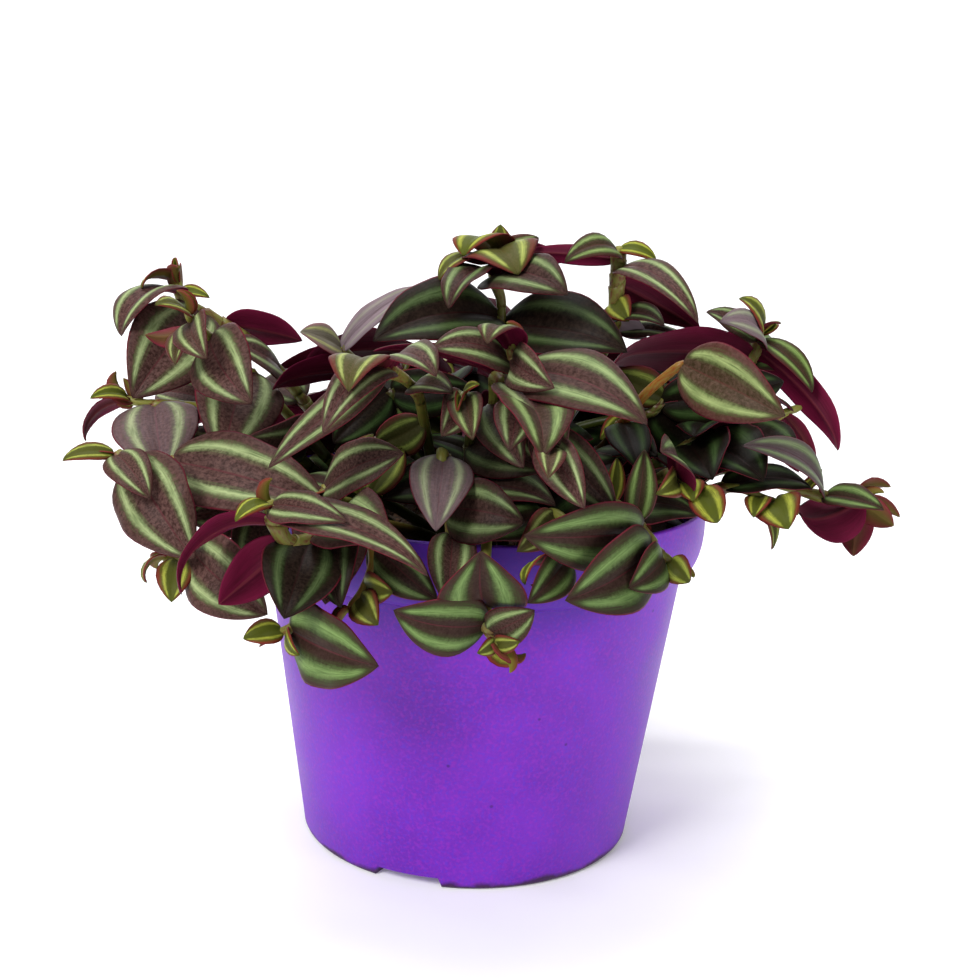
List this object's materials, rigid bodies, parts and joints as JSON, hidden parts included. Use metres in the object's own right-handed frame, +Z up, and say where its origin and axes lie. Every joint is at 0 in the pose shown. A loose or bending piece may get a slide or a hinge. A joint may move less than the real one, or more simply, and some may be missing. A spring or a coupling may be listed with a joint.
{
  "type": "potted tradescantia",
  "caption": "Trailing houseplant with pointed, lengthwise striped leaves on arching stems that spill over the rim of a tapered round nursery pot.",
  "frame": {"origin": "centre of the pot's flat underside, on the surface that it stands on", "axes": "+Z up along the pot's axis; -Y is the side that the picture shows, with +X to its right"},
  "size_m": [0.202, 0.1861, 0.162],
  "materials": {
    "pot_plastic": "violet moulded polypropylene, satin, with faint moulding marks",
    "compost": "dark brown peat and bark compost, matt and crumbly",
    "foliage": "satin leaves, purple-brown with two silver-green stripes and burgundy undersides; yellow-green stems"
  },
  "bodies": {
    "root": {"pot": "pot_plastic", "shoot_back_1": "foliage", "shoot_back_2": "foliage", "shoot_back_3": "foliage", "shoot_back_4": "foliage", "shoot_back_5": "foliage", "shoot_back_6": "foliage", "shoot_back_7": "foliage", "shoot_front_1": "foliage", "shoot_front_10": "foliage", "shoot_front_2": "foliage", "shoot_front_3": "foliage", "shoot_front_4": "foliage", "shoot_front_5": "foliage", "shoot_front_6": "foliage", "shoot_front_7": "foliage", "shoot_front_8": "foliage", "shoot_front_9": "foliage", "shoot_hidden_1": "foliage", "shoot_hidden_2": "foliage", "shoot_inner_2": "foliage", "shoot_inner_3": "foliage", "shoot_inner_4": "foliage", "shoot_left_1": "foliage", "shoot_left_2": "foliage", "shoot_left_3": "foliage", "shoot_left_4": "foliage", "shoot_left_5": "foliage", "shoot_middle_1": "foliage", "shoot_middle_2": "foliage", "shoot_middle_3": "foliage", "shoot_middle_4": "foliage", "shoot_rear_1": "foliage", "shoot_rear_2": "foliage", "shoot_rear_3": "foliage", "shoot_rear_4": "foliage", "shoot_rear_5": "foliage", "shoot_right_1": "foliage", "shoot_right_2": "foliage", "shoot_right_3": "foliage", "shoot_right_4": "foliage", "shoot_right_5": "foliage", "shoot_right_6": "foliage", "shoot_top_1": "foliage", "shoot_top_2": "foliage", "shoot_top_3": "foliage", "soil": "compost"}
  },
  "joints": []
}
